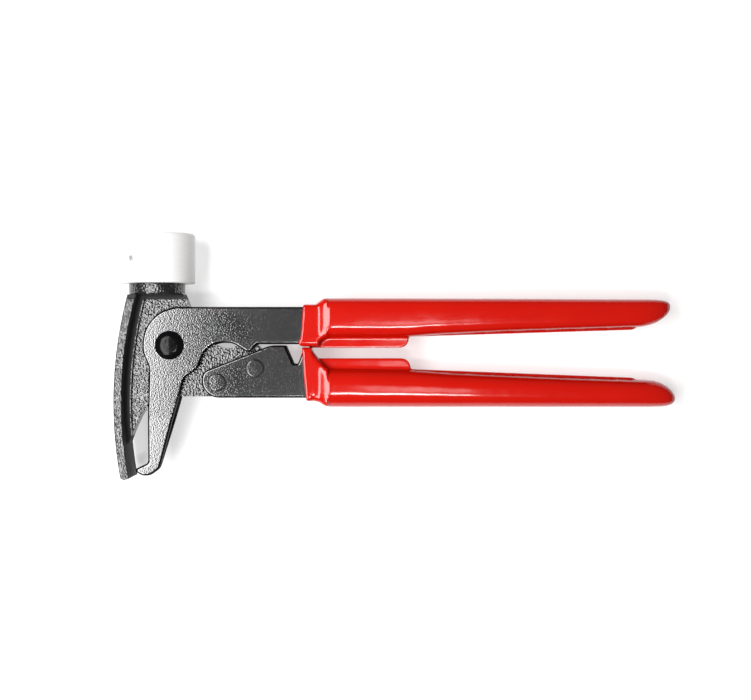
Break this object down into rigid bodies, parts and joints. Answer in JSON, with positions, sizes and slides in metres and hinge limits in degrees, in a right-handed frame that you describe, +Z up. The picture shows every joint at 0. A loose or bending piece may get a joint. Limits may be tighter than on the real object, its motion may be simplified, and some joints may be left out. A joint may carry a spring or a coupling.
{
  "type": "wheel weight hammer pliers",
  "caption": "Tyre-balancing hammer pliers: nylon-capped hammer head, curved blade with a hooked jaw, cutter notch and vinyl-dipped handles.",
  "frame": {"origin": "middle of the tool's box in X and Y, on the surface it lies on (lowest point of the nylon cap)", "axes": "+X along the handles towards the grips' ends, +Y from the jaw towards the nylon cap, +Z up, square to the flat sides of the tool; the pivot axis is along Z"},
  "size_m": [0.267, 0.1168, 0.0364],
  "materials": {
    "black_casting": "sand-cast iron under satin black enamel",
    "black_plate": "stamped steel under fine-textured black enamel",
    "black_rivet": "steel rivet, smooth black",
    "white_nylon": "turned white nylon, satin",
    "red_vinyl": "glossy dipped soft vinyl"
  },
  "bodies": {
    "head": {"hammer_head": "black_casting", "nylon_cap": "white_nylon", "lower_handle_front": "black_plate", "lower_handle_rear": "black_plate", "handle_rivet_nose": "black_rivet", "handle_rivet_tongue": "black_rivet", "lower_grip": "red_vinyl"},
    "lever": {"lever_plate_front": "black_plate", "lever_plate_rear": "black_plate", "upper_grip": "red_vinyl", "pivot_rivet": "black_rivet"}
  },
  "joints": [
    {"name": "jaw_pivot", "type": "hinge", "parent": "head", "child": "lever", "pos_m": [-0.10758, 0.0052, 0.0182], "axis": [0, 0, 1], "range_deg": [0, 24]}
  ]
}
